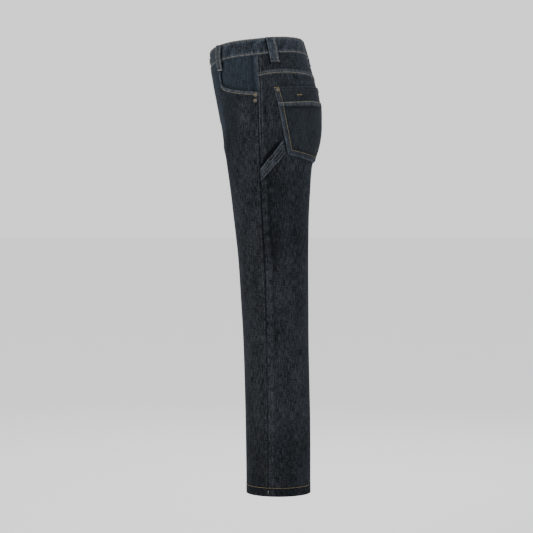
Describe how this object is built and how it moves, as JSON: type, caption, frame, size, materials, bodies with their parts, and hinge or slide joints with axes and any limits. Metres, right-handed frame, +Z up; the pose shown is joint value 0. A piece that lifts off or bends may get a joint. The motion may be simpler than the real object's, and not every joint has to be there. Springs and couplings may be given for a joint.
{
  "type": "jeans, straight leg work style, worn shape with no wearer",
  "caption": "Straight-leg denim work jeans in their hollow worn shape, with waistband, belt loops, yoke, scoop and patch pockets, and a hammer loop on the left leg.",
  "frame": {"origin": "the middle of the waist, level with the front of the waistband, where the wearer holds the jeans up", "axes": "+Z up along the legs to the waist, front faces -Y, the wearer's left is +X"},
  "size_m": [0.386, 0.2721, 1.0873],
  "materials": {
    "denim": "dark rinsed indigo twill with grey vertical slubs",
    "band_denim": "doubled indigo twill, a little paler along its edges",
    "facing_denim": "bluer, smoother indigo twill",
    "rivet_metal": "aged, dull",
    "button_metal": "aged, dull, plain face"
  },
  "bodies": {
    "root": {"front_left": "denim", "front_right": "denim", "back_left": "denim", "back_right": "denim", "yoke_left": "denim", "yoke_right": "denim", "waistband": "band_denim", "fly_shield": "facing_denim", "pocket_facing_left": "facing_denim", "pocket_facing_right": "facing_denim", "back_pocket_left": "denim", "back_pocket_right": "denim", "pocket_patch_left": "denim", "pocket_patch_right": "denim", "hammer_loop": "band_denim", "belt_loop_front_left": "band_denim", "belt_loop_front_right": "band_denim", "belt_loop_side_left": "band_denim", "belt_loop_side_right": "band_denim", "belt_loop_back": "band_denim", "pocket_rivet_left_1": "rivet_metal", "pocket_rivet_left_2": "rivet_metal", "pocket_rivet_right_1": "rivet_metal", "pocket_rivet_right_2": "rivet_metal", "back_pocket_rivet_left_1": "rivet_metal", "back_pocket_rivet_left_2": "rivet_metal", "back_pocket_rivet_right_1": "rivet_metal", "back_pocket_rivet_right_2": "rivet_metal", "waist_button": "button_metal"}
  },
  "joints": []
}
